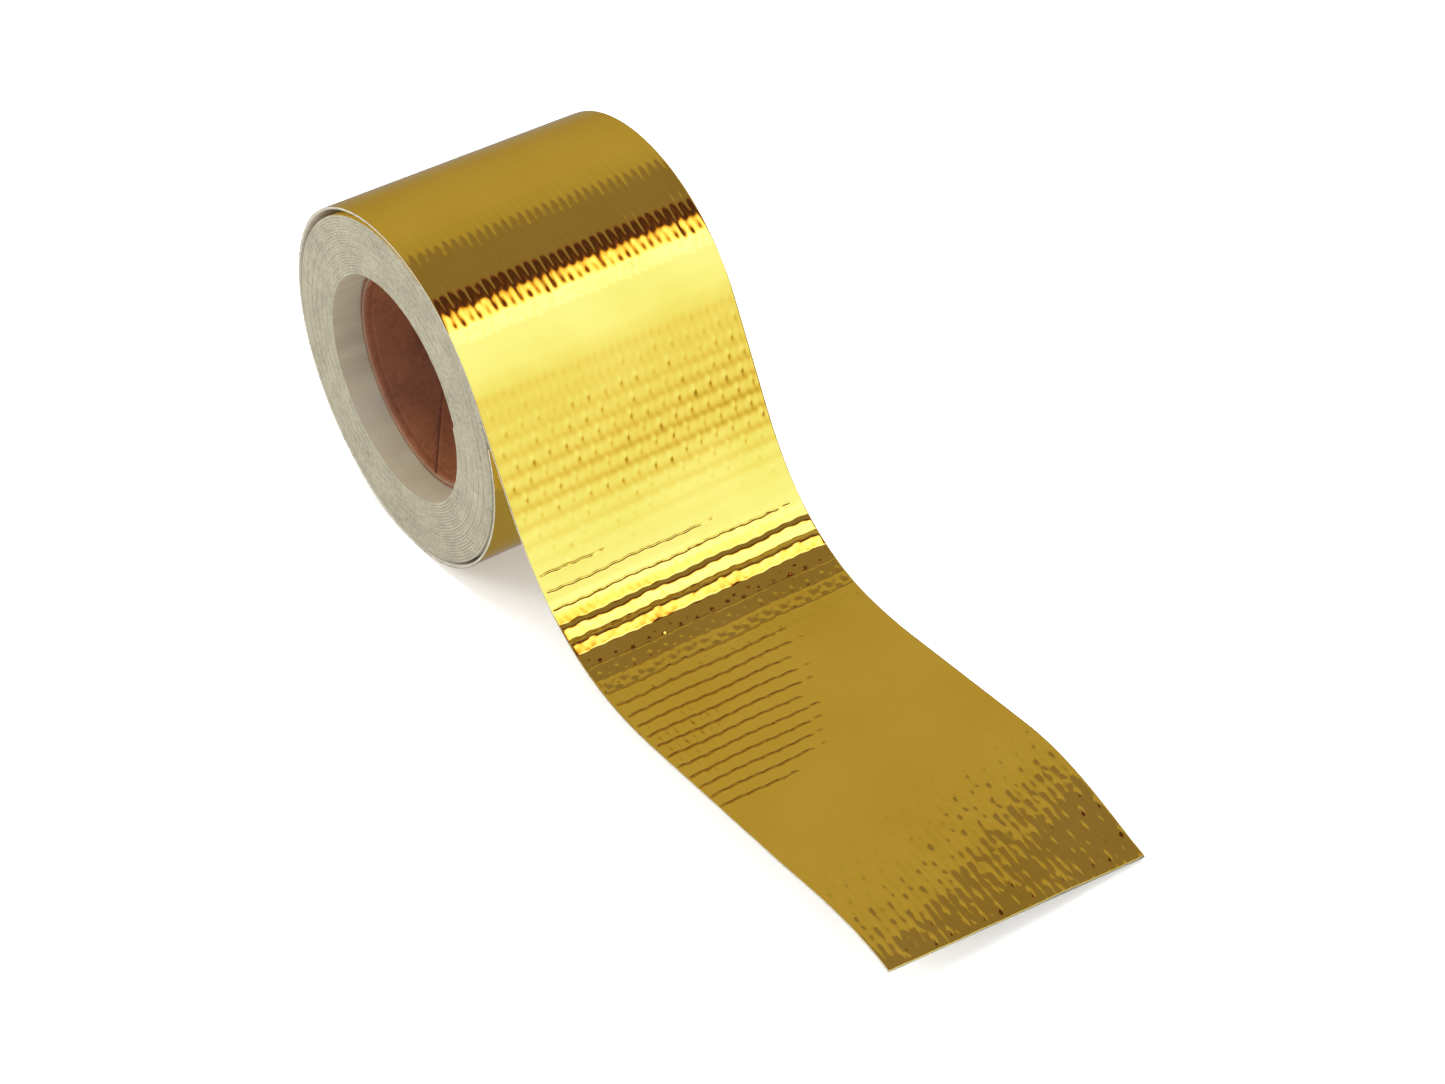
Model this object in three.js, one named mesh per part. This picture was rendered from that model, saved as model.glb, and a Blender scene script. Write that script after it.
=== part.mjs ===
// A roll of metallised glass-cloth tape: a cardboard core, the wound pack on it, the loose outer turn
// and the free tail that comes off it. Millimetres and degrees, +Z up, the roll's axis along Y.
import * as THREE from 'three';

// ---- driving dimensions ----
const TAPE_WIDTH = 50.8;
const LAYERS = [
  { name: 'liner', thickness: 0.1, colour: 0xcfcabd, roughness: 0.75, metalness: 0 },
  { name: 'adhesive', thickness: 0.06, colour: 0xd9cf9d, roughness: 0.4, metalness: 0 },
  { name: 'glass_cloth', thickness: 0.25, colour: 0xc9c4b4, roughness: 0.85, metalness: 0 },
  { name: 'gold_film', thickness: 0.05, colour: 0xd0a52c, roughness: 0.15, metalness: 1 },
];
const LAYER_GAP = 0.01;
const CORE_BORE_DIAMETER = 38.1;
const CORE_WIDTH = 40.2;
const CORE_PLIES = [
  { name: 'core_inner_ply', thickness: 0.4, colour: 0x7d4a33 },
  { name: 'core_middle_ply', thickness: 0.6, colour: 0x8a6a4e },
  { name: 'core_outer_ply', thickness: 0.4, colour: 0x9a7a5c },
];
const CORE_PLY_GAP = 0.02;

// The pack winds on in turns a little apart, and tighter over its top, which leaves it slightly flat.
const PACK_TURNS = 21;
const PACK_TURN_GAP = 0.032;
const PACK_TIGHT_GAP = 0.01;
const PACK_TIGHT_ANGLE = 125;
const PACK_TIGHT_HALF_WIDTH = 75;
const PACK_CORE_GAP = 0.1;

// The loose outer turn runs back around the roll from the peel line, where the tail leaves.
const ROLL_RADIUS = 32.78;
const PEEL_ANGLE = 26;
const TURN_SWEEP = 345;
const LOOSE_BULGE = 0.25;
const LOOSE_BULGE_ANGLE = 130;
const LOOSE_BULGE_HALF_WIDTH = 60;

// The tail: its heading turns up in one long bend and down in the curl at its end.
const TAIL_LENGTH = 130.2;
const TAIL_BEND = 67.3;
const TAIL_BEND_START = 16;
const TAIL_BEND_END = 73.3;
const TAIL_CURL = 24.2;
const TAIL_CURL_START = 95.9;
const TAIL_CURL_END = 140.2;
const TAIL_BANK = 1.7;
const TAIL_BANK_LENGTH = 60;
const TAIL_END_BANK = 6.1;
const TAIL_END_BANK_START = 101.2;
const CUT_SKEW = 1.2;
const CUT_SKEW_LENGTH = 20;
const HINGE_GAP = 0.15;

const ROUND_SEGMENTS = 72;
const PACK_STEPS_PER_TURN = 36;
const TURN_STEP = 5;
const TAIL_STEP = 2.6;

// ---- small helpers ----
const radians = THREE.MathUtils.degToRad;
const smooth = (value, start, end) => THREE.MathUtils.smoothstep(value, start, end);
const sum = (values) => values.reduce((total, value) => total + value, 0);

const TAPE_THICKNESS = sum(LAYERS.map((layer) => layer.thickness)) + LAYER_GAP * (LAYERS.length - 1);
const CORE_BORE_RADIUS = CORE_BORE_DIAMETER / 2;
const CORE_RADIUS = CORE_BORE_RADIUS + sum(CORE_PLIES.map((ply) => ply.thickness + CORE_PLY_GAP));
const LOOSE_RADIUS = ROLL_RADIUS - TAPE_THICKNESS;

function standardMaterial({ colour, roughness, metalness }) {
  return new THREE.MeshStandardMaterial({ color: colour, roughness, metalness });
}

function namedMesh(name, geometry, look) {
  const mesh = new THREE.Mesh(geometry, standardMaterial(look));
  mesh.name = name;
  return mesh;
}

// ---- core: plain rings around the roll's axis ----
function ringGeometry(innerRadius, outerRadius, width) {
  const half = width / 2;
  const profile = [
    new THREE.Vector2(innerRadius, -half),
    new THREE.Vector2(outerRadius, -half),
    new THREE.Vector2(outerRadius, half),
    new THREE.Vector2(innerRadius, half),
    new THREE.Vector2(innerRadius, -half),
  ];
  return new THREE.LatheGeometry(profile, ROUND_SEGMENTS);
}

function coreMeshes() {
  let innerRadius = CORE_BORE_RADIUS;
  return CORE_PLIES.map((ply) => {
    const outerRadius = innerRadius + ply.thickness;
    const geometry = ringGeometry(innerRadius, outerRadius, CORE_WIDTH);
    innerRadius = outerRadius + CORE_PLY_GAP;
    return namedMesh(ply.name, geometry, { colour: ply.colour, roughness: 0.8, metalness: 0 });
  });
}

// ---- the tape's path ----
// A station is a point on the tape's underside with the tape's own directions there:
// "out" is the film's side and "across" runs from the near edge to the far one.

function stationAround(angle, radius) {
  const out = new THREE.Vector3(Math.cos(radians(angle)), 0, Math.sin(radians(angle)));
  const point = out.clone().multiplyScalar(radius);
  return { point, out, across: new THREE.Vector3(0, 1, 0) };
}

// One at the middle angle, falling smoothly to nothing half a width to either side.
function swell(angle, middle, halfWidth) {
  const away = Math.abs(THREE.MathUtils.euclideanModulo(angle - middle + 180, 360) - 180);
  return 1 - smooth(away, 0, halfWidth);
}

function packPitch(angle) {
  const tight = swell(angle, PACK_TIGHT_ANGLE, PACK_TIGHT_HALF_WIDTH);
  return TAPE_THICKNESS + THREE.MathUtils.lerp(PACK_TURN_GAP, PACK_TIGHT_GAP, tight);
}

// The pack is one long strip: it winds out from the core to where the outer turn ends.
function packStations() {
  const outerEnd = PEEL_ANGLE + TURN_SWEEP;
  const count = PACK_TURNS * PACK_STEPS_PER_TURN;
  const stations = [];
  for (let index = 0; index <= count; index += 1) {
    const turn = index / PACK_STEPS_PER_TURN;
    const angle = outerEnd + 360 * (PACK_TURNS - turn);
    const radius = CORE_RADIUS + PACK_CORE_GAP + packPitch(angle) * turn;
    const station = stationAround(angle, radius);
    stations.push({ near: station, far: station });
  }
  return stations;
}

// Underside radius of the outer turn, at an angle measured back around the roll from the peel line.
function turnRadius(sweep) {
  const bulge = swell(PEEL_ANGLE + sweep, LOOSE_BULGE_ANGLE, LOOSE_BULGE_HALF_WIDTH);
  return LOOSE_RADIUS + LOOSE_BULGE * bulge;
}

function turnStation(sweep) {
  return stationAround(PEEL_ANGLE + sweep, turnRadius(sweep));
}

function turnStations() {
  const count = Math.ceil(TURN_SWEEP / TURN_STEP);
  const first = THREE.MathUtils.radToDeg(HINGE_GAP / turnRadius(0));
  const stations = [];
  for (let index = 0; index <= count; index += 1) {
    const sweep = THREE.MathUtils.lerp(first, TURN_SWEEP, index / count);
    const station = turnStation(sweep);
    stations.push({ near: station, far: station });
  }
  return stations.reverse();
}

// Slope of the tail above the level, at a distance from the peel line.
function tailHeading(distance) {
  const bend = TAIL_BEND * smooth(distance, TAIL_BEND_START, TAIL_BEND_END);
  const curl = TAIL_CURL * smooth(distance, TAIL_CURL_START, TAIL_CURL_END);
  return radians(PEEL_ANGLE - 90 + bend - curl);
}

function tailBank(distance) {
  const start = TAIL_BANK * smooth(distance, 0, TAIL_BANK_LENGTH);
  const end = TAIL_END_BANK * smooth(distance, TAIL_END_BANK_START, TAIL_LENGTH);
  return radians(start + end);
}

function tailDirection(distance) {
  const heading = tailHeading(distance);
  return new THREE.Vector3(Math.cos(heading), 0, Math.sin(heading));
}

// The tail's stations a short step apart, found by walking along it from the peel line.
function tailWalk(length, step) {
  const stations = [];
  const point = turnStation(0).point;
  for (let distance = 0; distance <= length; distance += step) {
    const direction = tailDirection(distance);
    const bank = new THREE.Quaternion().setFromAxisAngle(direction, -tailBank(distance));
    const across = new THREE.Vector3(0, 1, 0).applyQuaternion(bank);
    const out = direction.clone().cross(across);
    stations.push({ point: point.clone(), out, across });
    point.addScaledVector(tailDirection(distance + step / 2), step);
  }
  return stations;
}

// The cut at the tail's end is slanted, so the far edge runs on past the near one.
function tailStations() {
  const fineStep = 0.1;
  const walk = tailWalk(TAIL_LENGTH + CUT_SKEW + 1, fineStep);
  const at = (distance) => walk[Math.round(distance / fineStep)];
  const count = Math.ceil(TAIL_LENGTH / TAIL_STEP);
  const stations = [];
  for (let index = 0; index <= count; index += 1) {
    const distance = THREE.MathUtils.lerp(HINGE_GAP, TAIL_LENGTH, index / count);
    const skew = CUT_SKEW * smooth(distance, TAIL_LENGTH - CUT_SKEW_LENGTH, TAIL_LENGTH);
    stations.push({ near: at(distance), far: at(distance + skew) });
  }
  return stations;
}

// ---- one layer of the tape, as a closed strip between two heights above the underside ----
function layerGeometry(stations, bottom, top) {
  const half = TAPE_WIDTH / 2;
  const corner = (station, side, height) => station.point
    .clone()
    .addScaledVector(station.across, side * half)
    .addScaledVector(station.out, height);
  const positions = [];
  const indices = [];
  const quad = (a, b, c, d) => indices.push(a, b, c, a, c, d);
  for (const { near, far } of stations) {
    const section = [
      corner(near, -1, bottom),
      corner(far, 1, bottom),
      corner(far, 1, top),
      corner(near, -1, top),
    ];
    section.forEach((vertex) => positions.push(...vertex.toArray()));
  }
  // The underside and the film's side split along the same diagonal, so the thickness stays even.
  for (let index = 0; index + 1 < stations.length; index += 1) {
    const here = 4 * index;
    const next = here + 4;
    quad(here, here + 1, next + 1, next);
    quad(here + 3, next + 3, next + 2, here + 2);
    quad(here + 1, here + 2, next + 2, next + 1);
    quad(here + 3, here, next, next + 3);
  }
  const last = 4 * (stations.length - 1);
  quad(3, 2, 1, 0);
  quad(last, last + 1, last + 2, last + 3);
  const geometry = new THREE.BufferGeometry();
  geometry.setAttribute('position', new THREE.Float32BufferAttribute(positions, 3));
  geometry.setIndex(indices);
  geometry.computeVertexNormals();
  return geometry;
}

function packMesh() {
  const geometry = layerGeometry(packStations(), 0, TAPE_THICKNESS);
  return namedMesh('wound_pack', geometry, { colour: 0xc4bda8, roughness: 0.9, metalness: 0 });
}

function layerMeshes(prefix, stations) {
  let bottom = 0;
  return LAYERS.map((layer) => {
    const top = bottom + layer.thickness;
    const geometry = layerGeometry(stations, bottom, top);
    bottom = top + LAYER_GAP;
    return namedMesh(`${prefix}_${layer.name}`, geometry, layer);
  });
}

// ---- assembly, with its origin under the middle of its box ----
const tapeRoll = new THREE.Group();
tapeRoll.add(...coreMeshes());
tapeRoll.add(packMesh());
tapeRoll.add(...layerMeshes('outer_turn', turnStations()));
tapeRoll.add(...layerMeshes('tail', tailStations()));

const box = new THREE.Box3().setFromObject(tapeRoll);
const middle = box.getCenter(new THREE.Vector3());
tapeRoll.position.set(-middle.x, -middle.y, -box.min.z);

const part = new THREE.Group();
part.add(tapeRoll);
export default part;
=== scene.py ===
"""Looks of a roll of gold-faced glass-cloth tape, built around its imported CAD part.

Shapes are worked out in millimetres and degrees on the roll's own axes, as in the CAD source: X towards
the tail, Y along the roll's axis from the near side to the far one, Z up, origin on the axis half way
along the roll. "Along" is the distance along the tape from the peel line, where the tail leaves the
roll: the tail is positive and the turn round the roll negative. "Across" runs from the near edge.
"""
import math
from collections import namedtuple

import bmesh
import bpy
import numpy as np
from mathutils import Matrix, Quaternion, Vector


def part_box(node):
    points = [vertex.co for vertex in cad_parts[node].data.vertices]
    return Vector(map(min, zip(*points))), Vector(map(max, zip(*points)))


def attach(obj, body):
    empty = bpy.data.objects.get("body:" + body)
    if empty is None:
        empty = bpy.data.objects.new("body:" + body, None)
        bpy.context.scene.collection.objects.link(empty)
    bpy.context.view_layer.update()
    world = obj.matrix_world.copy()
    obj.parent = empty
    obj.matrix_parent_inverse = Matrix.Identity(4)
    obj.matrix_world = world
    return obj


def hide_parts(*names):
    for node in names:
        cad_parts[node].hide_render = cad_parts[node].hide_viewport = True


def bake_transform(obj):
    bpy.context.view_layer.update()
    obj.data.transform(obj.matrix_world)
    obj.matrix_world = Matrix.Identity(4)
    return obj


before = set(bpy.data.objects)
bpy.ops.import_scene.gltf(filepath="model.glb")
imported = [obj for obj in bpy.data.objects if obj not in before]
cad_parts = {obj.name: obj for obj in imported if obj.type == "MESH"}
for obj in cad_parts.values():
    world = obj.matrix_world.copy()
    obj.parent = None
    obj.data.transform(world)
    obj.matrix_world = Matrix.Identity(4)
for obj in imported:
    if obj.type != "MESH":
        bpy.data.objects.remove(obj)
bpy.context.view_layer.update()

MM = 0.001

# ---- the tape and its path, as in CAD ----
TAPE_WIDTH = 50.8
TAPE_THICKNESS = 0.49
LINER = (0.0, 0.1)
ADHESIVE = (0.11, 0.17)
GLASS_CLOTH = (0.18, 0.43)
FILM_HEIGHT = 0.49
LOOSE_RADIUS = 32.29
PEEL_ANGLE = 26
TURN_SWEEP = 345
LOOSE_BULGE = 0.25
LOOSE_BULGE_ANGLE = 130
LOOSE_BULGE_HALF_WIDTH = 60
TAIL_LENGTH = 130.2
TAIL_BEND = 67.3
TAIL_BEND_SPAN = (16, 73.3)
TAIL_CURL = 24.2
TAIL_CURL_SPAN = (95.9, 140.2)
TAIL_BANK = 1.7
TAIL_BANK_SPAN = (0, 60)
TAIL_END_BANK = 6.1
TAIL_END_BANK_SPAN = (101.2, 130.2)
CUT_SKEW = 1.2
CUT_SKEW_LENGTH = 20
TURN_TABLE_ROWS = 4001
TAIL_TABLE_STEP = 0.05

# ---- the wound pack and the core ----
# The pack's gap is a little wider than in CAD, which closes most of the gap under the loose turn.
PACK_TURNS = 21
PACK_TURN_GAP = 0.038
PACK_TIGHT_GAP = 0.01
PACK_TIGHT_ANGLE = 125
PACK_TIGHT_HALF_WIDTH = 75
PACK_TURN_STEPS = 150
PACK_CORE_GAP = 0.1
PACK_EDGE_BEVEL = 0.02
PACK_EDGE_HEIGHTS = (0.06, 0.42)
PACK_TURN_DRIFT = 0.015
PACK_SLOW_WAVE = 0.03
PACK_FUZZ = 0.02
PACK_SEED = 31
# The sides of the wound tape's outline that face outwards and inwards, and how tightly its outermost
# turn has to be wound to show film.
PACK_OUTER_SIDE = 3
PACK_INNER_SIDE = 7
PACK_FILM_TIGHTNESS = 0.1

CORE_WIDTH = 40.2
CORE_RADIUS = 20.51
CORE_TWIST = -180
CORE_SEAM_ANGLE = 185.6
CORE_SEAM_HALF_WIDTH = 0.9
CORE_SEAM_DEPTH = 0.3
CORE_SCORE = 1.4
CORE_SCORE_SHARE = 0.3
CORE_ROUGHNESS = 0.01
CORE_SEED = 41
CORE_TOLERANCE = 0.01
CORE_STEPS_ROUND = 168
CORE_SEAM_STEPS = (-2.2, -1.4, -0.8, -0.3, 0.3, 0.8, 1.4, 2.2)
CORE_PLIES = (
    ("core_inner_ply", "core_ply_inner", 19.05, 19.45),
    ("core_middle_ply", "core_ply_middle", 19.47, 20.07),
    ("core_outer_ply", "core_ply_outer", 20.09, 20.49),
)

# ---- the layers under the film ----
LAYER_TURN_ROWS = 520
LAYER_TAIL_ROWS = 420
LAYER_EDGE = 0.6
LAYER_DIP_SHARE = 0.6
LAYER_FRAYED_WIDTH = 0.1
LAYER_FRAY_LIMIT = 0.04

# ---- the cloth's weave, which prints through the film ----
WARP_PITCH = 1.6
WEFT_PITCH = 3.0
WARP_RIB = 0.042
ROW_START = 1.0

# Bumps (or dents, where the height is negative) at every other crossing of the threads. The size is
# across and along, the parity says which crossings, and the spread is how unequal the heights are.
Marks = namedtuple("Marks", "height size parity seed spread")
MARK_TABLE = (64, 256)
MARK_SHIFT = (0.08, 0.2)
WARP_BUMPS = Marks(0.085, (0.27, 0.7), 0, 5, 0.5)
WARP_BUMPS_BETWEEN = Marks(0.65 * 0.085, (0.27, 0.7), 1, 9, 0.5)
WEFT_BUMPS = Marks(0.02, (0.55, 0.5), 1, 8, 0.35)
KNOTS = Marks(1.0, (0.2, 0.4), 0, 5, 0.35)
BEND_PITS = Marks(-0.1, (0.25, 0.22), 1, 13, 0.4)
BEND_FLECKS = Marks(0.13, (0.32, 0.28), 0, 14, 0.4)
END_DENTS = Marks(-0.15, (0.2, 0.5), 0, 17, 0.8)
END_BUMPS = Marks(0.12, (0.2, 0.5), 1, 18, 0.8)
END_GRAIN = Marks(0.03, (0.3, 0.45), 1, 19, 2.0)

# Heights of the weft's rows and of the knots, as (distance along, height).
ROW_HEIGHTS = ((2, 0), (8, 0.01), (20, 0.02), (30, 0.03), (40, 0))
KNOT_HEIGHTS = ((0, 0), (6, 0.04), (20, 0.07), (30, 0.1), (35, 0))

# ---- the pinched band, where the tape leaves the tight top of the roll ----
PINCH = 0.32
PINCH_RAISED_SHARE = 0.85
PINCH_PLACE = -17.5
PINCH_SIZE = (0.26, 3.0)
PINCH_SHIFT = 0.6
PINCH_DEPTHS = (0.75, 1.15)
PINCH_SEED = 23

# ---- folds of the inward bend ----
SWELL_HEIGHT = 0.55
SWELL_SPAN = (45, 61, 82)
BEND_MARKS_SPAN = ((45.5, 47.5), (54, 59))
CREASE_ROWS = range(10, 30)
CREASE_HALF_WIDTH = 0.24
CREASE_END_SPANS = ((29, 31), (88, 90))
CREASE_FADE = 12
ARCH = 0.2
ARCH_RISE = 0.27

# How high the arches stand, how far across the creases reach and how steep their sides are in
# degrees, each as (distance along, value).
ARCH_AMOUNTS = ((37, 0), (39.4, 1.2), (42, 1.2), (43.4, 2.1), (45.4, 0.25), (54, 0.2), (58, 0))
CREASE_REACHES = (
    (29, 0), (31, 17), (34, 36), (40, 64), (54, 64), (58, 37), (70, 32), (82, 27), (88, 18), (90, 0),
)
CREASE_TILTS = (
    (31, 24), (37, 22), (40, 8), (50, 8), (55, 15), (58, 24), (64, 33), (70, 37), (79, 38.5),
)

# ---- handling marks at the tail's end ----
END_SPAN = (99, 119)
END_SLANT = 0.28
END_WAVE = 0.08
END_RIPPLE = 0.035
TURNED_UP = 0.5
TURNED_UP_PLACE = 33
TURNED_UP_HALF_WIDTH = 6
TURNED_UP_SPAN = (121, 135)
FAR_LIFT = 0.4
FAR_LIFT_SPAN = (98, 128)

# ---- the film's grid of points ----
FILM_COLUMNS = 230
FILM_EDGE_DROP = 0.04
FILM_EDGE_FADE = (0, 0.35)
FILM_STEP = 0.42
FILM_FINE_STEP = 0.29
FILM_END_GAP = 0.02
FILM_FINE_START = -30
FILM_END_START = 97
FILM_CREASE_OFFSETS = (0.09, 0.18, 0.27, 0.36, 0.45, 0.6, 0.9, 1.3)
FILM_SEAM_SWEEP = 112
FILM_FOLD_ROW = 12

# ---- studio ----
# What the film mirrors, as (angle, colour): a long bright window along the roll's right side, a dark
# ceiling and a grey wall. The angle goes round the roll's axis: 0 is level on the tail's side and 90
# is straight up.
MIRRORED = (
    (-180, 0.42), (-130, (0.34, 0.34, 0.4)), (-60, (0.34, 0.34, 0.4)), (-14, 0.4),
    (-8, (0.3, 0.25, 0.16)), (1, (0.34, 0.28, 0.15)), (4.5, (0.6, 0.55, 0.35)),
    (8, (0.88, 0.92, 0.85)), (11, (0.98, 1.15, 1.5)), (16, (1.03, 1.34, 2.1)), (25, (1.08, 1.5, 2.8)),
    (48, (1.12, 1.6, 3.5)), (53, (1.8, 2.3, 5.5)), (55.5, (1.3, 1.6, 2.6)), (57.5, (1.5, 1.9, 2.6)),
    (59.5, (1.3, 1.2, 0.6)), (61.5, (1.0, 0.5, 0.15)), (63, (0.14, 0.05, 0.08)),
    (74, (0.05, 0.03, 0.06)), (77, (0.2, 0.05, 0.1)), (79.5, (0.26, 0.23, 0.29)),
    (109, (0.275, 0.245, 0.3)), (110.5, (0.44, 0.41, 0.34)), (132, (0.49, 0.46, 0.4)),
    (150, (0.48, 0.45, 0.4)), (179, (0.42, 0.4, 0.38)),
)
ROOM = (0.92, 0.92, 0.9)
FLOOR_HALF_SIZE = 3
LAMPS = (
    ("overhead", (-0.1, 0.1, 1.3), 1.2, 16),
    ("near_left", (-0.7, -1.1, 0.8), 0.8, 9),
)
LAMP_TARGET = (0, 0, 0.03)
CAMERA_PLACE = (388.07, -188.64 - TAPE_WIDTH / 2, 303.64)
CAMERA_AZIMUTH = 56.77
CAMERA_ELEVATION = 38.44
CAMERA_ROLL = -2.48
CAMERA_LENS = 76.574
CAMERA_SENSOR_WIDTH = 36
CAMERA_CLIP = (0.01, 20)


# ==== small helpers ====
def smooth(value, span):
    """0 before the span, 1 after it, and a smoothstep between."""
    part = np.clip((np.asarray(value, float) - span[0]) / (span[1] - span[0]), 0, 1)
    return part * part * (3 - 2 * part)


def profile(place, points):
    """Value at a place, by straight lines between (place, value) pairs."""
    places, values = zip(*points)
    return np.interp(place, places, values)


def axis_origin():
    """The middle of the roll's axis in the part's frame, in metres."""
    low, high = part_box("core_inner_ply")
    return np.array((low + high) / 2)


ORIGIN = axis_origin()


def to_part(points):
    """Millimetres on the roll's axes to metres in the part's frame."""
    return np.asarray(points, float) * MM + ORIGIN


# ==== the tape's path ====
def swell(angle, middle, half_width):
    """1 at the middle angle, falling smoothly to 0 half a width to either side."""
    away = np.abs((angle - middle + 180) % 360 - 180)
    return 1 - smooth(away, (0, half_width))


def turn_radius(sweep):
    """Radius of the loose turn's underside, at an angle back round the roll from the peel line."""
    bulge = swell(PEEL_ANGLE + sweep, LOOSE_BULGE_ANGLE, LOOSE_BULGE_HALF_WIDTH)
    return LOOSE_RADIUS + LOOSE_BULGE * bulge


def around(angle, radius):
    """Point, across and out directions on a circle about the roll's axis."""
    angle = np.radians(angle)
    zero = np.zeros_like(angle)
    out = np.stack([np.cos(angle), zero, np.sin(angle)], -1)
    across = np.stack([zero, zero + 1, zero], -1)
    return out * np.asarray(radius)[..., None], across, out


def tail_directions(distance):
    """Along, across and out directions of the tail at distances from the peel line."""
    heading = PEEL_ANGLE - 90 + TAIL_BEND * smooth(distance, TAIL_BEND_SPAN)
    heading = np.radians(heading - TAIL_CURL * smooth(distance, TAIL_CURL_SPAN))
    bank = TAIL_BANK * smooth(distance, TAIL_BANK_SPAN)
    bank = np.radians(bank + TAIL_END_BANK * smooth(distance, TAIL_END_BANK_SPAN))
    zero = np.zeros_like(heading)
    along = np.stack([np.cos(heading), zero, np.sin(heading)], -1)
    up = np.stack([-np.sin(heading), zero, np.cos(heading)], -1)
    level = np.stack([zero, zero + 1, zero], -1)
    turned = level * np.cos(bank)[..., None] - up * np.sin(bank)[..., None]
    return along, turned, np.cross(along, turned)


def path_tables():
    """Fine tables of the path: distance along, underside point, across and out directions."""
    sweep = np.linspace(TURN_SWEEP, 0, TURN_TABLE_ROWS)
    point, across, out = around(PEEL_ANGLE + sweep, turn_radius(sweep))
    steps = np.linalg.norm(np.diff(point, axis=0), axis=1)
    back = -np.append(np.cumsum(steps[::-1])[::-1], 0)
    step = TAIL_TABLE_STEP
    distance = np.arange(0, TAIL_LENGTH + CUT_SKEW + 1, step)
    middle = tail_directions(distance + step / 2)[0]
    tail = point[-1] + np.concatenate([np.zeros((1, 3)), np.cumsum(middle * step, 0)[:-1]])
    _, tail_across, tail_out = tail_directions(distance)
    return (
        np.concatenate([back, distance[1:]]),
        np.concatenate([point, tail[1:]]),
        np.concatenate([across, tail_across[1:]]),
        np.concatenate([out, tail_out[1:]]),
    )


PATH = path_tables()
TURN_START = PATH[0][0]


def path_at(distance):
    """Underside point, across and out directions at distances along the tape."""
    values = []
    for table in PATH[1:]:
        parts = [np.interp(distance, PATH[0], table[:, axis]) for axis in range(3)]
        values.append(np.stack(parts, -1))
    return values


def sweep_to_along(sweep):
    """Distance along the tape of a place on the loose turn."""
    sweep = np.array([sweep])
    place = around(PEEL_ANGLE + sweep, turn_radius(sweep))[0][0]
    away = np.linalg.norm(PATH[1] - place, axis=1)
    away[PATH[0] > 0] = np.inf
    return PATH[0][int(away.argmin())]


def cut_skew(along):
    """How much further along the far edge is than the near one, near the slanted cut."""
    return CUT_SKEW * smooth(along, (TAIL_LENGTH - CUT_SKEW_LENGTH, TAIL_LENGTH))


def tape_point(along, across, height):
    """Points of the tape: along and across in millimetres, height above its underside."""
    along, across, height = np.broadcast_arrays(along, across, height)
    half = TAPE_WIDTH / 2
    near_point, near_across, near_out = path_at(along)
    far_point, far_across, far_out = path_at(along + cut_skew(along))
    near = near_point - near_across * half + near_out * height[..., None]
    far = far_point + far_across * half + far_out * height[..., None]
    part = (across / TAPE_WIDTH)[..., None]
    return near + (far - near) * part


# ==== meshes from grids of points ====
def grid_faces(rows, columns, wrap_rows=False, wrap_columns=False):
    """Quads of a grid of points numbered row by row, as an array."""
    row = np.arange(rows if wrap_rows else rows - 1)
    column = np.arange(columns if wrap_columns else columns - 1)
    row, column = np.meshgrid(row, column, indexing="ij")
    next_row = (row + 1) % rows
    next_column = (column + 1) % columns
    corners = (
        row * columns + column,
        row * columns + next_column,
        next_row * columns + next_column,
        next_row * columns + column,
    )
    return np.stack([corner.ravel() for corner in corners], 1)


def make_object(name, points, faces, material, uv=None):
    """A smooth-shaded mesh object from points on the roll's axes, with a UV map in metres."""
    mesh = bpy.data.meshes.new(name)
    mesh.from_pydata(to_part(points).tolist(), [], [list(map(int, face)) for face in faces])
    mesh.update()
    mesh.polygons.foreach_set("use_smooth", [True] * len(mesh.polygons))
    if uv is not None:
        layer = mesh.uv_layers.new(name="tape")
        corner = np.zeros(len(mesh.loops), np.int32)
        mesh.loops.foreach_get("vertex_index", corner)
        layer.data.foreach_set("uv", (np.asarray(uv)[corner] * MM).ravel())
    mesh.materials.append(material)
    obj = bpy.data.objects.new(name, mesh)
    bpy.context.scene.collection.objects.link(obj)
    return obj


def fix_normals(obj):
    """Face every side outwards."""
    mesh = bmesh.new()
    mesh.from_mesh(obj.data)
    bmesh.ops.recalc_face_normals(mesh, faces=mesh.faces)
    mesh.to_mesh(obj.data)
    mesh.free()


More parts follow.
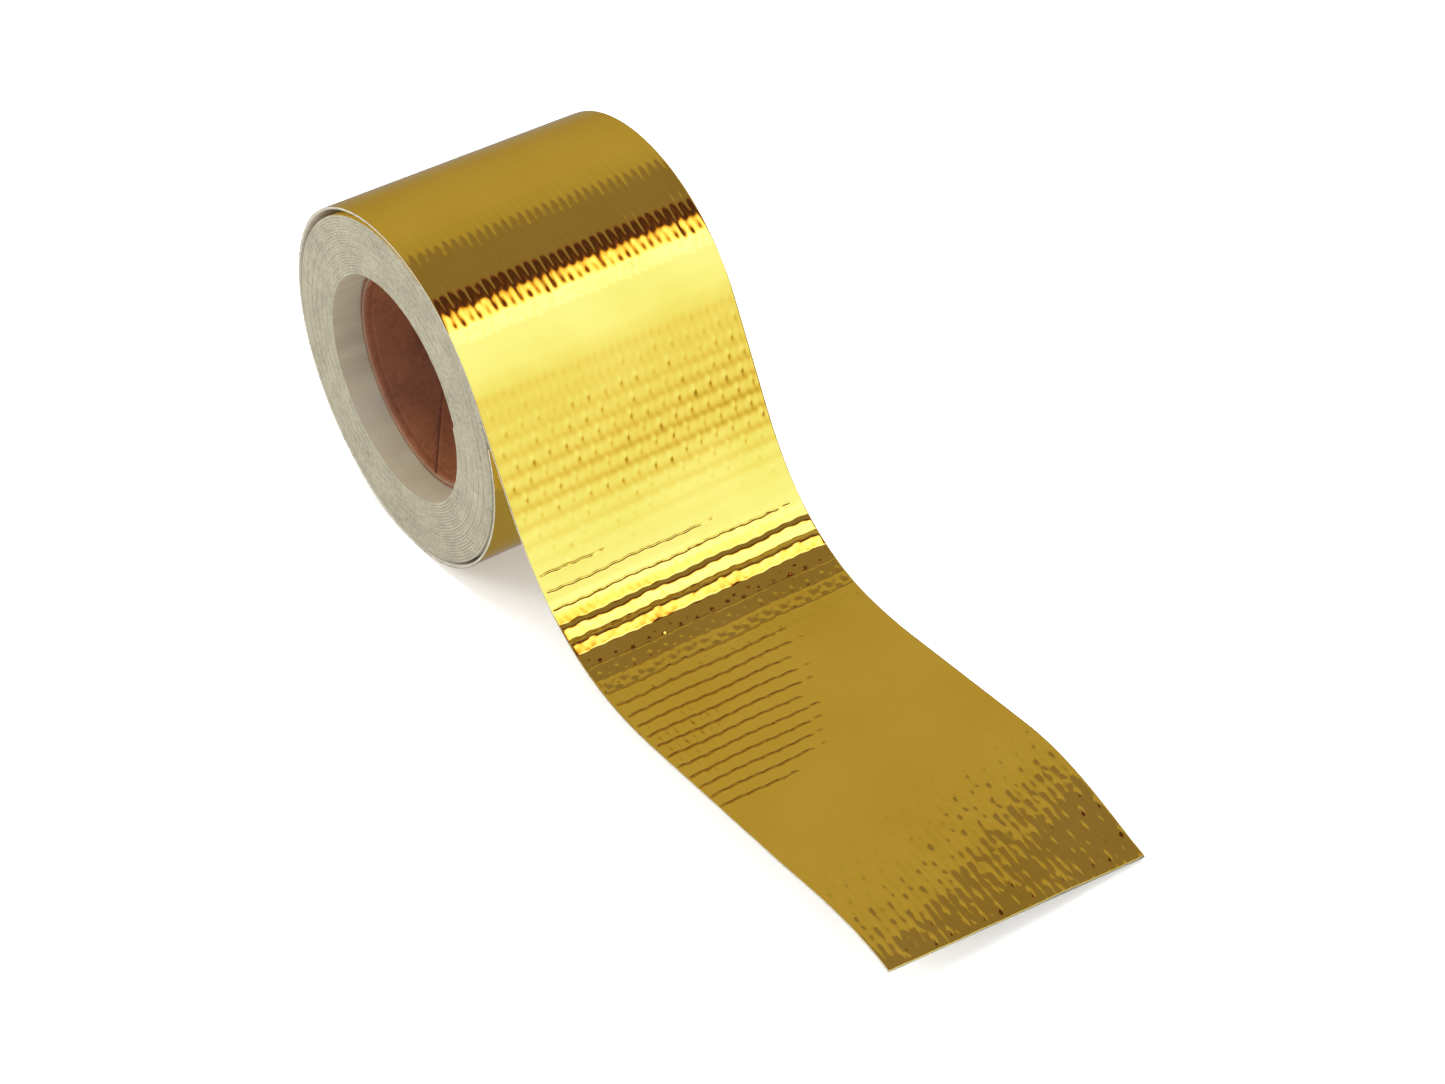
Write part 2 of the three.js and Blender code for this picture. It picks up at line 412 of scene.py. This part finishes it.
# ==== material nodes ====
class Nodes:
    """Short ways to build a node tree."""

    def __init__(self, tree):
        self.tree = tree
        self.tree.nodes.clear()

    def node(self, kind, **inputs):
        """A node with its inputs set by name, where _ stands for a space."""
        made = self.tree.nodes.new(kind)
        for key, value in inputs.items():
            self.put(made.inputs[key.replace("_", " ")], value)
        return made

    def put(self, socket, value):
        """Link a socket to another, or give it a value."""
        if isinstance(value, bpy.types.NodeSocket):
            self.tree.links.new(value, socket)
        else:
            socket.default_value = value

    def math(self, operation, *values):
        made = self.tree.nodes.new("ShaderNodeMath")
        made.operation = operation
        for socket, value in zip(made.inputs, values):
            self.put(socket, value)
        return made.outputs[0]

    def blend(self, first, second, share):
        """The first value with a share of the second mixed in."""
        kept = self.math("MULTIPLY", first, 1 - share)
        added = self.math("MULTIPLY", second, share)
        return self.math("ADD", kept, added)

    def ramp(self, value, stops):
        """Colour ramp; stops are (position, colour or grey level)."""
        made = self.tree.nodes.new("ShaderNodeValToRGB")
        elements = made.color_ramp.elements
        while len(elements) < len(stops):
            elements.new(1.0)
        for element, (place, colour) in zip(elements, stops):
            element.position = place
            element.color = (colour,) * 3 + (1,) if isinstance(colour, float) else (*colour, 1)
        self.put(made.inputs[0], value)
        return made.outputs[0]

    def noise(self, vector, scale, detail=2.0, roughness=0.5):
        made = self.tree.nodes.new("ShaderNodeTexNoise")
        self.put(made.inputs["Vector"], vector)
        made.inputs["Scale"].default_value = scale
        made.inputs["Detail"].default_value = detail
        made.inputs["Roughness"].default_value = roughness
        return made.outputs[0]

    def stretch(self, vector, scale):
        made = self.tree.nodes.new("ShaderNodeMapping")
        self.put(made.inputs["Vector"], vector)
        made.inputs["Scale"].default_value = scale
        return made.outputs[0]

    def bump(self, height, distance):
        made = self.tree.nodes.new("ShaderNodeBump")
        self.put(made.inputs["Height"], height)
        made.inputs["Distance"].default_value = distance
        made.inputs["Strength"].default_value = 1.0
        return made.outputs[0]


def new_material(name):
    """A material with a Principled shader wired to its output."""
    material = bpy.data.materials.new(name)
    material.use_nodes = True
    nodes = Nodes(material.node_tree)
    shader = nodes.node("ShaderNodeBsdfPrincipled")
    output = nodes.node("ShaderNodeOutputMaterial")
    nodes.put(output.inputs["Surface"], shader.outputs[0])
    return material, nodes, shader


def gold_film():
    """Mirror-like gold film: slight drift of colour, and fine grain along the threads."""
    material, nodes, shader = new_material("gold_film")
    uv = nodes.node("ShaderNodeTexCoord").outputs["UV"]
    shade = nodes.noise(uv, scale=60.0, detail=3.0)
    colour = nodes.ramp(shade, [(0.3, (0.86, 0.55, 0.055)), (0.7, (0.92, 0.6, 0.075))])
    nodes.put(shader.inputs["Base Color"], colour)
    shader.inputs["Metallic"].default_value = 1.0
    grain = nodes.noise(nodes.stretch(uv, (1.0, 0.35, 1.0)), scale=2200.0, detail=3.0)
    rough = nodes.ramp(grain, [(0.3, 0.06), (0.75, 0.13)])
    nodes.put(shader.inputs["Roughness"], rough)
    shader.inputs["Specular Tint"].default_value = (0.95, 0.8, 0.5, 1.0)
    shader.inputs["Coat Weight"].default_value = 0.12
    shader.inputs["Coat Roughness"].default_value = 0.08
    nodes.put(shader.inputs["Normal"], nodes.bump(grain, distance=0.000004))
    return material


def pale_fibre(name, dark, light, scale):
    """Cut glass threads and paper seen edge on: pale, with fine streaks."""
    material, nodes, shader = new_material(name)
    place = nodes.node("ShaderNodeTexCoord").outputs["Object"]
    streak = nodes.noise(place, scale, detail=4.0, roughness=0.7)
    patch = nodes.noise(place, scale=260.0, detail=3.0)
    colour = nodes.ramp(nodes.blend(streak, patch, 0.3), [(0.3, dark), (0.65, light)])
    nodes.put(shader.inputs["Base Color"], colour)
    shader.inputs["Roughness"].default_value = 0.8
    shader.inputs["Specular IOR Level"].default_value = 0.3
    nodes.put(shader.inputs["Normal"], nodes.bump(streak, distance=0.00006))
    return material


def adhesive_layer():
    """Clear yellowish adhesive, seen only as a thin line at the edges."""
    material, nodes, shader = new_material("adhesive")
    place = nodes.node("ShaderNodeTexCoord").outputs["Object"]
    blotch = nodes.noise(place, scale=400.0, detail=3.0)
    colour = nodes.ramp(blotch, [(0.3, (0.55, 0.47, 0.25)), (0.7, (0.68, 0.6, 0.38))])
    nodes.put(shader.inputs["Base Color"], colour)
    shader.inputs["Roughness"].default_value = 0.3
    nodes.put(shader.inputs["Normal"], nodes.bump(blotch, distance=0.00003))
    return material


def liner_paper(name, dark, light):
    """Smooth release paper with faint fibre."""
    material, nodes, shader = new_material(name)
    place = nodes.node("ShaderNodeTexCoord").outputs["Object"]
    fibre = nodes.noise(place, scale=1400.0, detail=4.0, roughness=0.65)
    cloud = nodes.noise(place, scale=70.0, detail=3.0)
    colour = nodes.ramp(nodes.blend(fibre, cloud, 0.6), [(0.3, dark), (0.7, light)])
    nodes.put(shader.inputs["Base Color"], colour)
    nodes.put(shader.inputs["Roughness"], nodes.ramp(fibre, [(0.3, 0.5), (0.7, 0.65)]))
    shader.inputs["Coat Weight"].default_value = 0.1
    nodes.put(shader.inputs["Normal"], nodes.bump(fibre, distance=0.00003))
    return material


def kraft_paper(name, dark, light):
    """Red-brown core board: mottled, fibrous, slightly burnished."""
    material, nodes, shader = new_material(name)
    place = nodes.node("ShaderNodeTexCoord").outputs["Object"]
    fibre = nodes.noise(place, scale=1100.0, detail=5.0, roughness=0.75)
    mottle = nodes.noise(place, scale=160.0, detail=3.0, roughness=0.6)
    colour = nodes.ramp(nodes.blend(fibre, mottle, 0.45), [(0.3, dark), (0.68, light)])
    nodes.put(shader.inputs["Base Color"], colour)
    nodes.put(shader.inputs["Roughness"], nodes.ramp(mottle, [(0.3, 0.5), (0.7, 0.7)]))
    nodes.put(shader.inputs["Normal"], nodes.bump(fibre, distance=0.00006))
    return material


def floor_paper():
    """Pale studio paper under the object."""
    material, nodes, shader = new_material("studio_floor")
    place = nodes.node("ShaderNodeTexCoord").outputs["Object"]
    grain = nodes.noise(place, scale=300.0)
    nodes.put(shader.inputs["Base Color"], nodes.ramp(grain, [(0.3, 0.87), (0.7, 0.89)]))
    shader.inputs["Roughness"].default_value = 0.9
    shader.inputs["Emission Color"].default_value = (1.0, 1.0, 1.0, 1.0)
    shader.inputs["Emission Strength"].default_value = 0.3
    return material


GOLD_FILM = gold_film()
CLOTH = pale_fibre("glass_cloth", dark=(0.32, 0.3, 0.24), light=(0.52, 0.49, 0.42), scale=900.0)
ADHESIVE_LOOK = adhesive_layer()
LINER_LOOK = liner_paper("liner_paper", dark=(0.4, 0.37, 0.3), light=(0.5, 0.47, 0.39))
PACK_EDGE = pale_fibre("pack_edge", dark=(0.2, 0.185, 0.13), light=(0.39, 0.355, 0.26), scale=1300.0)
BORE_LINER = liner_paper("bore_liner", dark=(0.29, 0.24, 0.16), light=(0.37, 0.31, 0.21))
KRAFT = kraft_paper("core_kraft", dark=(0.15, 0.048, 0.018), light=(0.33, 0.117, 0.048))
KRAFT_PALE = kraft_paper("core_kraft_pale", dark=(0.2, 0.12, 0.07), light=(0.34, 0.22, 0.14))


# ==== the film's relief ====
def lattice(along, across, marks):
    """Rounded bumps at every other crossing of the threads, each a little out of place."""
    random = np.random.default_rng(marks.seed)
    amounts = random.uniform(1 - marks.spread, 1 + marks.spread, MARK_TABLE)
    shifts = random.normal(0, 1, (*MARK_TABLE, 2)) * MARK_SHIFT
    warp = np.round(across / WARP_PITCH).astype(int)
    weft = np.round(along / WEFT_PITCH).astype(int)
    total = np.zeros(np.broadcast(along, across).shape)
    for warp_step in (-1, 0, 1):
        for weft_step in (-1, 0, 1):
            i, j = warp + warp_step, weft + weft_step
            here = (i + j) % 2 == marks.parity
            entry = (i % MARK_TABLE[0], j % MARK_TABLE[1])
            amount, shift = amounts[entry], shifts[entry]
            over = (across - WARP_PITCH * i - shift[..., 0]) / marks.size[0]
            down = (along - WEFT_PITCH * j - shift[..., 1]) / marks.size[1]
            total += here * amount * np.exp(-(over ** 2 + down ** 2) / 2)
    return marks.height * total


def weave_strength(along):
    """How strongly the weave's bumps show: most over the front of the roll and at the tail's end."""
    front = smooth(along, (-29, -20))
    flat = smooth(along, (-12, -2))
    end = smooth(along, (96, 112))
    return 0.2 + 0.6 * front - 0.5 * flat + 0.6 * end


def warp_ribs(along, across):
    """Ribs over the warp threads, fainter on the roll's back and on the flat of the tail."""
    turn = 2 * np.pi * (across / WARP_PITCH + 0.05 * np.sin(along / 11))
    ribs = WARP_RIB * (np.cos(turn) + 0.3 * np.cos(2 * turn + 0.7))
    uneven = 0.8 + 0.25 * np.sin(across * 1.7)
    flat = smooth(along, (-10, 5)) - smooth(along, (95, 110))
    return ribs * uneven * (0.3 + 0.6 * smooth(along, (-38, -28))) * (1 - 0.6 * flat)


def weave(along, across):
    """The plain weave: bumps of the warp and the weft, ribs, rows and knots."""
    bumps = lattice(along, across, WARP_BUMPS)
    bumps = bumps + lattice(along, across, WARP_BUMPS_BETWEEN)
    bumps = bumps + lattice(along, across, WEFT_BUMPS)
    rows = np.cos(2 * np.pi * (along - ROW_START) / WEFT_PITCH) * profile(along, ROW_HEIGHTS)
    knots = lattice(along, across, KNOTS) * profile(along, KNOT_HEIGHTS)
    return bumps * weave_strength(along) + warp_ribs(along, across) + rows + knots


def pinches(along, across):
    """Long narrow dents between the warp threads, where the tape leaves the tight top of the roll."""
    random = np.random.default_rng(PINCH_SEED)
    column = np.round(across / WARP_PITCH).astype(int)
    shift = random.normal(0, PINCH_SHIFT, MARK_TABLE[0])[column]
    depth = random.uniform(*PINCH_DEPTHS, MARK_TABLE[0])[column]
    width, length = PINCH_SIZE
    narrow = np.exp(-((across - WARP_PITCH * column) / width) ** 2 / 2)
    raised = np.exp(-((along - PINCH_PLACE) / length) ** 2 / 2)
    dented = np.exp(-((along - PINCH_PLACE - shift) / length) ** 2 / 2)
    return PINCH * (PINCH_RAISED_SHARE * raised - depth * narrow * dented)


def broad_swell(along):
    """A slight broad swell of the film over the inward bend."""
    start, top, end = SWELL_SPAN
    return SWELL_HEIGHT * smooth(along, (start, top)) * (1 - smooth(along, (top, end)))


def bend_marks(along, across):
    """Small pits and flecks at the crossings, where the film is pushed together in the bend."""
    start, end = BEND_MARKS_SPAN
    amount = smooth(along, start) * (1 - smooth(along, end))
    return amount * (lattice(along, across, BEND_PITS) + lattice(along, across, BEND_FLECKS))


def end_marks(along, across):
    """Uneven swells and dents near the cut, where the tape has been handled."""
    amount = smooth(along + END_SLANT * across, END_SPAN)
    dents = lattice(along, across, END_DENTS)
    dents = dents + lattice(along, across, END_BUMPS)
    grain = lattice(along, across, END_GRAIN)
    waves = END_WAVE * np.sin(across * 0.55 + along * 0.3) * np.sin(along * 0.45 - across * 0.2)
    waves = waves + END_RIPPLE * np.sin(across * 1.3 + 1.0) * np.sin(along * 0.9 + across * 0.4)
    middle = np.exp(-((across - TURNED_UP_PLACE) / TURNED_UP_HALF_WIDTH) ** 2)
    turned_up = TURNED_UP * middle * smooth(along, TURNED_UP_SPAN) ** 2
    far_lift = FAR_LIFT * (across / TAPE_WIDTH) ** 2 * smooth(along, FAR_LIFT_SPAN)
    return amount * (dents + grain + waves) + turned_up + far_lift


def arches(along, across):
    """In the inward bend the film stands in lopsided arches between the creases."""
    wander = 0.13 * np.sin(across * 0.45) + 0.09 * np.sin(across * 1.96 + np.sin(along))
    part = ((along - ROW_START + wander) / WEFT_PITCH) % 1
    arch = np.where(part < ARCH_RISE, part / ARCH_RISE, (1 - part) / (1 - ARCH_RISE))
    place = along - part * WEFT_PITCH
    return ARCH * profile(place, ARCH_AMOUNTS) * arch


def creases(along, across):
    """Sharp little folds between the weft threads, breaking into dashes and dots as they end."""
    row = np.round((along - ROW_START) / WEFT_PITCH)
    offset = along - ROW_START - row * WEFT_PITCH
    offset = offset - 0.12 * np.sin(across * 0.35 + row) - 0.08 * np.sin(across * 1.96 + row * np.pi)
    place = ROW_START + row * WEFT_PITCH
    reach = profile(place, CREASE_REACHES)
    fade = 1 - smooth(across, (reach - CREASE_FADE, reach + 2 + 2 * np.sin(row * 2.3)))
    dots = 0.5 * np.cos(2 * np.pi * (across / (2 * WARP_PITCH) + row / 2))
    held = smooth(1.5 * fade + 0.5 * dots, (0.2, 0.8)) * smooth(across, (0, 1))
    first, last = CREASE_END_SPANS
    held = held * smooth(place, first) * (1 - smooth(place, last))
    slope = np.tan(np.radians(profile(place, CREASE_TILTS)))
    uneven = 0.9 + 0.2 * np.sin(across * 2.6 + row * 1.7) * np.sin(across * 0.9 + row)
    depth = CREASE_HALF_WIDTH * slope * uneven
    return -depth * held * np.clip(1 - np.abs(offset) / CREASE_HALF_WIDTH, 0, 1)


def slow_wander(along, across):
    """The film's level drifting slightly over centimetres."""
    return 0.015 * np.sin(along / 5.3 + 0.9 * np.sin(across / 9)) * np.sin(across / 14 + along / 31)


def film_relief(along, across):
    """Height of the film's face over its level, in millimetres: nothing but creases at the edges."""
    relief = weave(along, across) + pinches(along, across)
    relief = relief + bend_marks(along, across) + arches(along, across)
    relief = relief + slow_wander(along, across) + end_marks(along, across) + broad_swell(along)
    edges = smooth(across, FILM_EDGE_FADE) * smooth(TAPE_WIDTH - across, FILM_EDGE_FADE)
    return relief * edges + creases(along, across)


# ==== the film ====
def film_rows(start, end):
    """Distances along the film for its rows of points: closer together where it creases."""
    near = np.array(FILM_CREASE_OFFSETS)
    fine = np.concatenate([-near, [0], near])
    places = ROW_START + WEFT_PITCH * np.array(CREASE_ROWS)
    creases_start, creases_end = places[0] - WEFT_PITCH / 2, places[-1] + WEFT_PITCH / 2
    rows = np.concatenate([
        np.arange(start, FILM_FINE_START, FILM_STEP),
        np.arange(FILM_FINE_START, creases_start, FILM_FINE_STEP),
        (places[:, None] + fine).ravel(),
        np.arange(creases_end, FILM_END_START, FILM_STEP),
        np.arange(FILM_END_START, TAIL_LENGTH, FILM_FINE_STEP),
    ])
    rows = np.unique(np.round(rows, 4))
    inside = rows[(rows > start + FILM_END_GAP) & (rows < end - FILM_END_GAP)]
    return np.concatenate([[start], inside, [end]])


def film_piece(name, start, end, cut_end=False):
    """The gold film between two distances along the tape, with its edges turned down a little."""
    rows = film_rows(start, end)
    columns = np.linspace(0, TAPE_WIDTH, FILM_COLUMNS)
    along, across = np.meshgrid(rows, columns, indexing="ij")
    true_along = along + cut_skew(along) * across / TAPE_WIDTH
    height = FILM_HEIGHT + film_relief(true_along, across)
    points = tape_point(along, across, height)
    low_height = np.full(len(rows), FILM_HEIGHT - FILM_EDGE_DROP)
    near = tape_point(rows, np.zeros(len(rows)), low_height)
    far = tape_point(rows, np.full(len(rows), TAPE_WIDTH), low_height)
    points = np.concatenate([near[:, None], points, far[:, None]], 1)
    uv = np.stack([across, true_along], -1)
    uv = np.concatenate([uv[:, :1], uv, uv[:, -1:]], 1)
    if cut_end:
        lip = tape_point(np.full(len(columns), end), columns, height[-1] - FILM_EDGE_DROP)
        lip = np.concatenate([lip[:1], lip, lip[-1:]])
        points = np.concatenate([points, lip[None]])
        uv = np.concatenate([uv, uv[-1:]])
    faces = grid_faces(points.shape[0], points.shape[1])[:, ::-1]
    obj = make_object(name, points.reshape(-1, 3), faces, GOLD_FILM, uv.reshape(-1, 2))
    return obj


# ==== the layers under the film ====
def layer_section(bottom, top):
    """A layer's outline as (across, height), its top dipping inside the edges to clear the film."""
    middle = (bottom + top) / 2
    dipped = top - LAYER_DIP_SHARE * (top - bottom)
    return (
        (0.03, bottom),
        (0.0, middle),
        (0.02, top),
        (LAYER_EDGE, dipped),
        (TAPE_WIDTH / 2, dipped),
        (TAPE_WIDTH - LAYER_EDGE, dipped),
        (TAPE_WIDTH - 0.02, top),
        (TAPE_WIDTH, middle),
        (TAPE_WIDTH - 0.03, bottom),
        (TAPE_WIDTH / 2, bottom),
    )


def layer_strip(name, heights, material, fray, seed):
    """One layer of the whole tape as a closed strip with slightly uneven cut edges."""
    rows = np.concatenate([
        np.linspace(TURN_START, 0, LAYER_TURN_ROWS, endpoint=False),
        np.linspace(0, TAIL_LENGTH, LAYER_TAIL_ROWS),
    ])
    noise = np.random.default_rng(seed).normal(0, fray, (len(rows), 2))
    section = layer_section(*heights)
    points = []
    for across, height in section:
        side = 0 if across < TAPE_WIDTH / 4 else 1
        on_edge = min(across, TAPE_WIDTH - across) < LAYER_FRAYED_WIDTH
        moved = across + (noise[:, side] if on_edge else 0)
        moved = np.clip(moved, -LAYER_FRAY_LIMIT, TAPE_WIDTH + LAYER_FRAY_LIMIT)
        points.append(tape_point(rows, moved, np.full(len(rows), height)))
    points = np.stack(points, 1)
    count = len(section)
    faces = grid_faces(len(rows), count, wrap_columns=True).tolist()
    faces.append(list(range(count))[::-1])
    last = (len(rows) - 1) * count
    faces.append([last + index for index in range(count)])
    uv = np.stack(np.meshgrid(rows, np.arange(count), indexing="ij")[::-1], -1)
    obj = make_object(name, points.reshape(-1, 3), faces, material, uv.reshape(-1, 2))
    return obj


def blend_to_tail(obj):
    """Bake the object's placement into its points; the bend from the loose turn to the tail is already
    in the tape's path.
    """
    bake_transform(obj)


def build_layers():
    """The liner, adhesive and cloth of the loose outer turn and the tail, as continuous strips."""
    for name, heights, material, slot, fray, seed in (
        ("liner", LINER, LINER_LOOK, "liner", 0.015, 21),
        ("adhesive", ADHESIVE, ADHESIVE_LOOK, "adhesive", 0.01, 22),
        ("glass_cloth", GLASS_CLOTH, CLOTH, "glass_cloth", 0.03, 23),
    ):
        layer = layer_strip(f"tape_{name}", heights, material, fray, seed)
        blend_to_tail(layer)
        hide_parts(f"outer_turn_{name}", f"tail_{name}")


def build_film():
    """The film in three pieces, which meet on the roll's back and at a fold of the bend."""
    seam = sweep_to_along(FILM_SEAM_SWEEP)
    fold = ROW_START + FILM_FOLD_ROW * WEFT_PITCH
    back = film_piece("tape_film_back", TURN_START, seam)
    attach(back, "outer_turn")
    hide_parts("outer_turn_gold_film")
    front = film_piece("tape_film_front", seam, fold)
    blend_to_tail(front)
    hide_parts("outer_turn_gold_film", "tail_gold_film")
    tail = film_piece("tape_film_tail", fold, TAIL_LENGTH, cut_end=True)
    blend_to_tail(tail)
    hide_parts("tail_gold_film")


# ==== the wound pack ====
def pack_section():
    """The wound tape's outline as (side, height): its edges slightly bevelled."""
    half, bevel = TAPE_WIDTH / 2, PACK_EDGE_BEVEL
    low, high = PACK_EDGE_HEIGHTS
    return (
        (-half + bevel, 0.0), (-half, low), (-half, high), (-half + bevel, TAPE_THICKNESS),
        (half - bevel, TAPE_THICKNESS), (half, high), (half, low), (half - bevel, 0.0),
    )


def build_pack():
    """The turns inside: one long strip wound on the core, its cut edges a little uneven."""
    count = PACK_TURNS * PACK_TURN_STEPS
    turn = np.arange(count + 1) / PACK_TURN_STEPS
    angle = PEEL_ANGLE + TURN_SWEEP + 360 * (PACK_TURNS - turn)
    tight = swell(angle, PACK_TIGHT_ANGLE, PACK_TIGHT_HALF_WIDTH)
    pitch = TAPE_THICKNESS + PACK_TURN_GAP + (PACK_TIGHT_GAP - PACK_TURN_GAP) * tight
    radius = CORE_RADIUS + PACK_CORE_GAP + pitch * turn
    random = np.random.default_rng(PACK_SEED)
    drift = random.normal(0, PACK_TURN_DRIFT, PACK_TURNS + 3)
    offset = np.interp(turn, np.arange(len(drift)), drift)
    offset += PACK_SLOW_WAVE * np.sin(np.radians(angle) * 1.7)
    _, across, out = around(angle, np.ones_like(angle))
    section = pack_section()
    points = []
    for side, height in section:
        place = side + offset + random.normal(0, PACK_FUZZ, count + 1)
        points.append(out * (radius + height)[:, None] + across * place[:, None])
    points = np.stack(points, 1)
    columns = len(section)
    faces = grid_faces(count + 1, columns, wrap_columns=True).tolist()
    last = count * columns
    faces.append(list(range(columns)))
    faces.append([last + index for index in range(columns)][::-1])
    obj = make_object("pack_turns", points.reshape(-1, 3), faces, PACK_EDGE)
    obj.data.materials.append(BORE_LINER)
    obj.data.materials.append(GOLD_FILM)
    column = np.tile(np.arange(columns), count)
    on_turn = np.repeat(turn[:-1], columns)
    on_tight = np.repeat(tight[:-1], columns) > PACK_FILM_TIGHTNESS
    in_bore = (column == PACK_INNER_SIDE) & (on_turn < 1)
    in_film = (column == PACK_OUTER_SIDE) & (on_turn > PACK_TURNS - 1) & on_tight
    index = np.select([in_bore, in_film], [1, 2], 0).tolist() + [0, 0]
    obj.data.polygons.foreach_set("material_index", index)
    bpy.context.view_layer.update()
    fix_normals(obj)
    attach(obj, "spool")
    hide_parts("wound_pack")


# ==== the core ====
def ply_angles():
    """Angles round a ply before its twist, in radians: even steps, closer together at the seam."""
    even = np.linspace(0, 2 * np.pi, CORE_STEPS_ROUND, endpoint=False)
    seam = np.radians(np.array(CORE_SEAM_STEPS))
    return np.unique(np.concatenate([even[3:-2], seam]))


def ply_profile(inner, outer):
    """A ply's outline as (radius, across) rows: bore, far rim, outside and near rim."""
    half = CORE_WIDTH / 2
    soft = min(0.12, (outer - inner) / 3)
    score_rows = (soft, 0.6, CORE_SCORE - 0.25, CORE_SCORE, CORE_SCORE + 0.25, CORE_SCORE + 0.6)
    bore = [(inner, -half + inset) for inset in score_rows]
    bore += [(inner, place) for place in np.linspace(-half + CORE_SCORE + 1.2, half - soft, 32)]
    outside = [(outer, place) for place in np.linspace(half - soft, -half + soft, 12)]
    middle = (inner + outer) / 2
    rim_far = [(inner + soft, half), (middle, half + 0.02), (outer - soft, half)]
    rim_near = [(outer - soft, -half), (middle, -half - 0.02), (inner + soft, -half)]
    return np.array(bore + rim_far + outside + rim_near)


def build_ply(node, name, inner, outer, material, groove):
    """One paper ply: a tube wound on a slant, with the butt of its strip and a score as grooves."""
    twist = math.radians(CORE_TWIST) / CORE_WIDTH
    start = ply_angles()
    profile_radius, profile_across = ply_profile(inner, outer).T
    random = np.random.default_rng(CORE_SEED)
    angle = start[:, None] + twist * profile_across + math.radians(CORE_SEAM_ANGLE)
    radius = np.repeat(profile_radius[None, :], len(start), 0)
    across = np.repeat(profile_across[None, :], len(start), 0)
    in_bore = np.abs(profile_radius - inner) < CORE_TOLERANCE
    at_score = np.abs(profile_across + CORE_WIDTH / 2 - CORE_SCORE) < CORE_TOLERANCE
    from_seam = (start + np.pi) % (2 * np.pi) - np.pi
    at_seam = np.exp(-(from_seam / math.radians(CORE_SEAM_HALF_WIDTH)) ** 2)
    radius += groove * at_seam[:, None] * in_bore
    radius += groove * CORE_SCORE_SHARE * at_score * in_bore
    radius += CORE_ROUGHNESS * random.normal(0, 1, radius.shape) * in_bore
    points = np.stack([radius * np.cos(angle), across, radius * np.sin(angle)], -1)
    faces = grid_faces(*radius.shape, wrap_rows=True, wrap_columns=True)
    obj = make_object(name, points.reshape(-1, 3), faces, material)
    fix_normals(obj)
    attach(obj, "spool")
    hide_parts(node)


def build_core():
    """The three plies; only the inner one shows its seam."""
    looks = ((KRAFT, CORE_SEAM_DEPTH), (KRAFT_PALE, 0.0), (KRAFT, 0.0))
    for ply, (material, groove) in zip(CORE_PLIES, looks):
        build_ply(*ply, material, groove)


# ==== studio ====
def build_world():
    """A plain white room, in which mirrors see the studio's window, ceiling and wall."""
    world = bpy.data.worlds.new("studio")
    bpy.context.scene.world = world
    world.use_nodes = True
    nodes = Nodes(world.node_tree)
    direction = nodes.node("ShaderNodeTexCoord").outputs["Generated"]
    split = nodes.node("ShaderNodeSeparateXYZ", Vector=direction)
    angle = nodes.math("ARCTAN2", split.outputs["Z"], split.outputs["X"])
    turn = nodes.math("ADD", nodes.math("DIVIDE", angle, 2 * math.pi), 0.5)
    stops = [((degrees + 180) / 360, colour) for degrees, colour in MIRRORED]
    mirrored = nodes.node("ShaderNodeBackground", Color=nodes.ramp(turn, stops))
    room = nodes.node("ShaderNodeBackground", Color=(*ROOM, 1.0))
    glossy = nodes.node("ShaderNodeLightPath").outputs["Is Glossy Ray"]
    mix = nodes.node("ShaderNodeMixShader", Fac=glossy)
    nodes.put(mix.inputs[1], room.outputs[0])
    nodes.put(mix.inputs[2], mirrored.outputs[0])
    output = nodes.node("ShaderNodeOutputWorld")
    nodes.put(output.inputs["Surface"], mix.outputs[0])


def build_floor():
    """A pale floor, kept out of mirrors."""
    half = FLOOR_HALF_SIZE
    points = [(-half, -half, 0), (half, -half, 0), (half, half, 0), (-half, half, 0)]
    mesh = bpy.data.meshes.new("floor")
    mesh.from_pydata(points, [], [(0, 1, 2, 3)])
    mesh.materials.append(floor_paper())
    floor = bpy.data.objects.new("floor", mesh)
    bpy.context.scene.collection.objects.link(floor)
    floor.visible_glossy = False


def add_lamp(name, place, size, watts):
    """A soft round lamp aimed at the object, kept out of mirrors."""
    light = bpy.data.lights.new(name, "AREA")
    light.shape = "DISK"
    light.size = size
    light.energy = watts
    lamp = bpy.data.objects.new(name, light)
    lamp.location = place
    lamp.rotation_mode = "QUATERNION"
    lamp.rotation_quaternion = (Vector(LAMP_TARGET) - Vector(place)).to_track_quat("-Z", "Y")
    lamp.visible_glossy = False
    bpy.context.scene.collection.objects.link(lamp)


def build_lamps():
    for lamp in LAMPS:
        add_lamp(*lamp)


def build_camera():
    """The camera, placed on the roll's axes and aimed by azimuth, elevation and roll."""
    data = bpy.data.cameras.new("camera")
    data.lens = CAMERA_LENS
    data.sensor_width = CAMERA_SENSOR_WIDTH
    data.clip_start, data.clip_end = CAMERA_CLIP
    camera = bpy.data.objects.new("camera", data)
    camera.location = Vector(ORIGIN) + Vector(CAMERA_PLACE) * MM
    azimuth, elevation = math.radians(CAMERA_AZIMUTH), math.radians(CAMERA_ELEVATION)
    back = Vector((
        math.sin(azimuth) * math.cos(elevation),
        -math.cos(azimuth) * math.cos(elevation),
        math.sin(elevation),
    ))
    level = Vector((0, 0, 1)).cross(back).normalized()
    right = Quaternion(back, math.radians(CAMERA_ROLL)) @ level
    up = back.cross(right)
    camera.rotation_mode = "QUATERNION"
    camera.rotation_quaternion = Matrix((right, up, back)).transposed().to_quaternion()
    bpy.context.scene.collection.objects.link(camera)
    bpy.context.scene.camera = camera


build_camera()
build_world()
build_floor()
build_lamps()
build_layers()
build_film()
build_pack()
build_core()
bpy.context.scene.view_settings.view_transform = "Standard"
